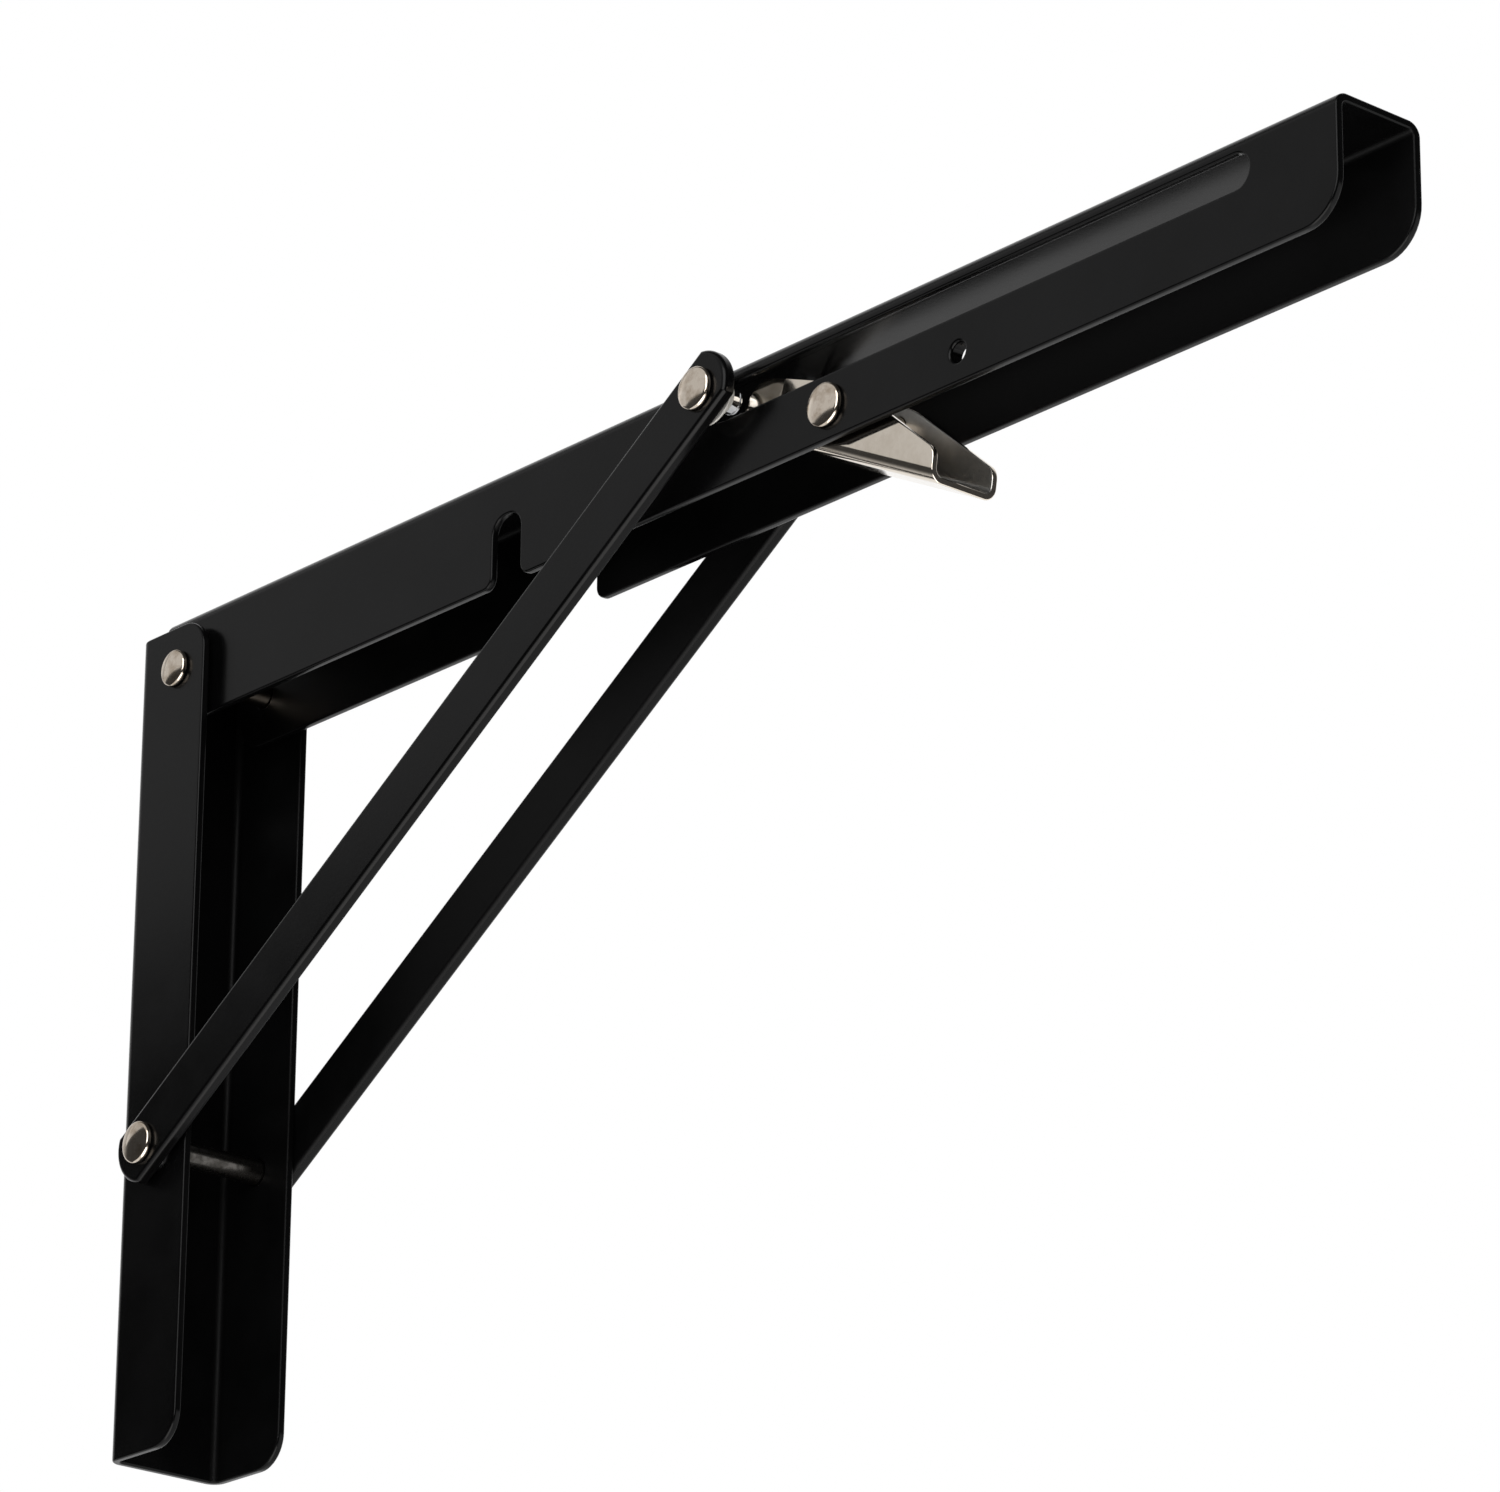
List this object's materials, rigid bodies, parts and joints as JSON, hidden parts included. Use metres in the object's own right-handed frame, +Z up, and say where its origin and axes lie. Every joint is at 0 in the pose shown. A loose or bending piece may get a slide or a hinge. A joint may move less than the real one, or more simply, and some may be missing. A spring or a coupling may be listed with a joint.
{
  "type": "drop leaf table bracket",
  "caption": "Folding bracket: a channel arm swings down against a channel wall rail, held open by slotted struts and a sprung release lever.",
  "frame": {"origin": "centre of the middle wall screw hole, on the face that lies against the wall", "axes": "+X out from the wall along the open arm, +Y across the bracket, +Z up; the stored pose is the open one of the picture"},
  "size_m": [0.4, 0.0448, 0.2106],
  "materials": {
    "black_coat": "satin black powder coat",
    "bright_nickel": "bright nickel plate",
    "zinc_washer": "zinc plate",
    "pale_nylon": "pale moulded nylon",
    "spring_steel": "drawn spring wire"
  },
  "bodies": {
    "rail": {"wall_rail": "black_coat", "arm_pivot_pin": "bright_nickel", "arm_pivot_washer_left": "zinc_washer", "arm_pivot_washer_right": "zinc_washer", "lower_strut_pin": "bright_nickel", "lower_washer_left": "zinc_washer", "lower_washer_right": "zinc_washer"},
    "arm": {"shelf_arm": "black_coat", "lever_pivot_pin": "bright_nickel", "lever_washer_left": "zinc_washer", "lever_washer_right": "zinc_washer", "lever_spring": "spring_steel"},
    "struts": {"strut_left": "black_coat", "strut_right": "black_coat", "strut_rivet_left": "bright_nickel", "strut_rivet_right": "bright_nickel"},
    "slot_sliders": {"slot_stud_left": "bright_nickel", "slot_stud_right": "bright_nickel", "slot_washer_left": "pale_nylon", "slot_washer_right": "pale_nylon"},
    "lever": {"release_lever": "bright_nickel"}
  },
  "joints": [
    {"name": "arm_fold", "type": "hinge", "parent": "rail", "child": "arm", "pos_m": [0.0155, 0, 0.098], "axis": [0, 1, 0], "range_deg": [0, 90]},
    {"name": "strut_swing", "type": "hinge", "parent": "rail", "child": "struts", "pos_m": [0.014, 0, -0.0217], "axis": [0, 1, 0], "range_deg": [0, 120.63]},
    {"name": "stud_slide", "type": "slide", "parent": "arm", "child": "slot_sliders", "axis": [1, 0, 0], "range_m": [0, 0.15887]},
    {"name": "lever_press", "type": "hinge", "parent": "arm", "child": "lever", "pos_m": [0.2455, 0, 0.0935], "axis": [0, -1, 0], "range_deg": [0, 28], "stiffness_Nm_per_rad": 0.06, "springref_deg": -22.92, "deforming": ["lever_spring"]}
  ],
  "couplings": [
    {"joint": "strut_swing", "follows": "arm_fold", "ratio": 1.3398},
    {"joint": "stud_slide", "follows": "arm_fold", "m_per_rad": 0.10111}
  ]
}
